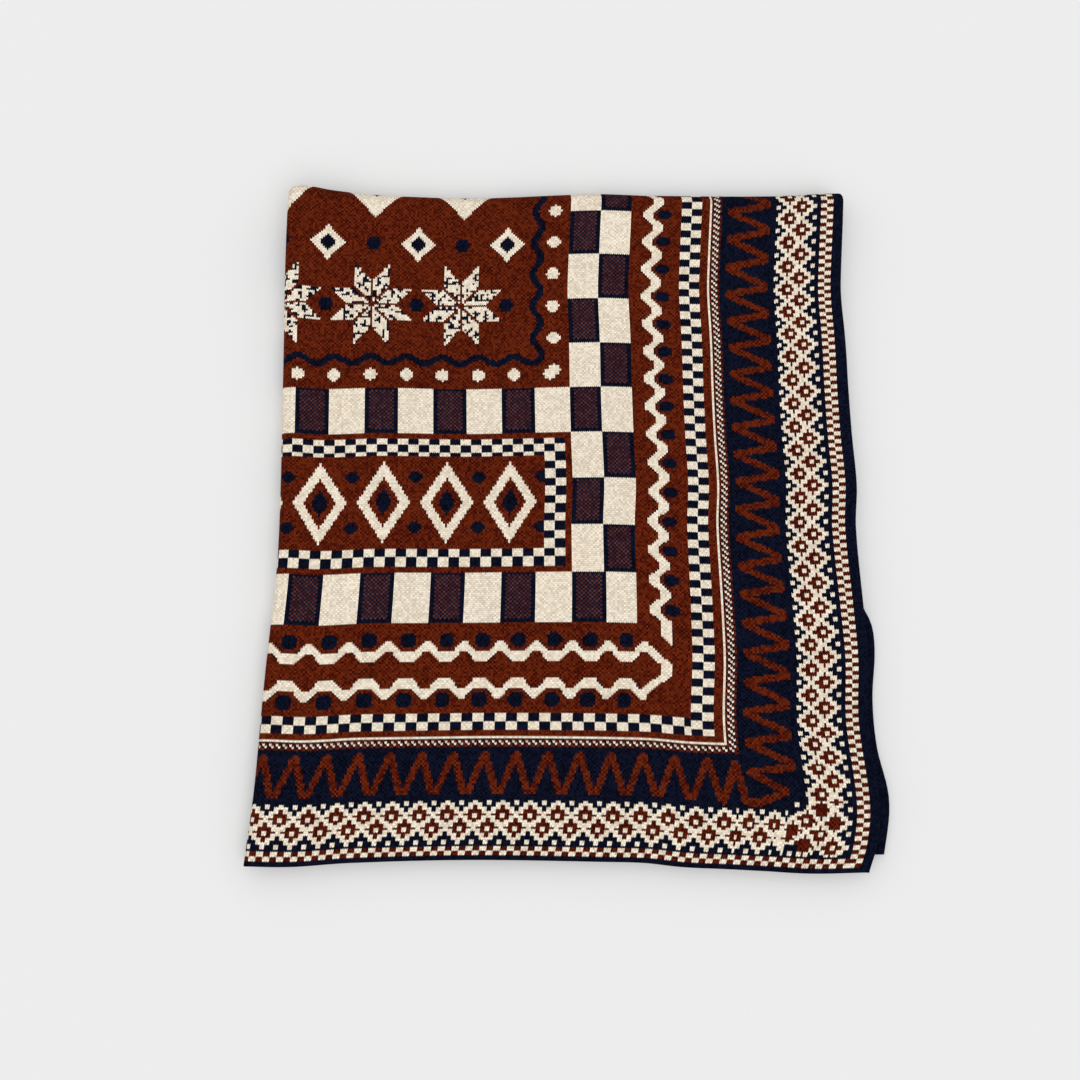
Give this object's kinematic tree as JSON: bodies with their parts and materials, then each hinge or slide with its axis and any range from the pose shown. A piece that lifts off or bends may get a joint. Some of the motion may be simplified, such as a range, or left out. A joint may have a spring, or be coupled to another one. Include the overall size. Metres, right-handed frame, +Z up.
{
  "type": "folded basotho blanket",
  "caption": "Knitted patterned blanket folded in half and in half again, lying flat, with soft rounded folds at the left and back.",
  "frame": {"origin": "on the surface that the blanket lies on, under the middle of its box", "axes": "+X to the open right hems, +Y to the back fold, +Z up"},
  "size_m": [0.6572, 0.7612, 0.0441],
  "materials": {
    "knit": "three colour knit in rust, navy and cream"
  },
  "bodies": {
    "root": {"blanket": "knit"}
  },
  "joints": []
}
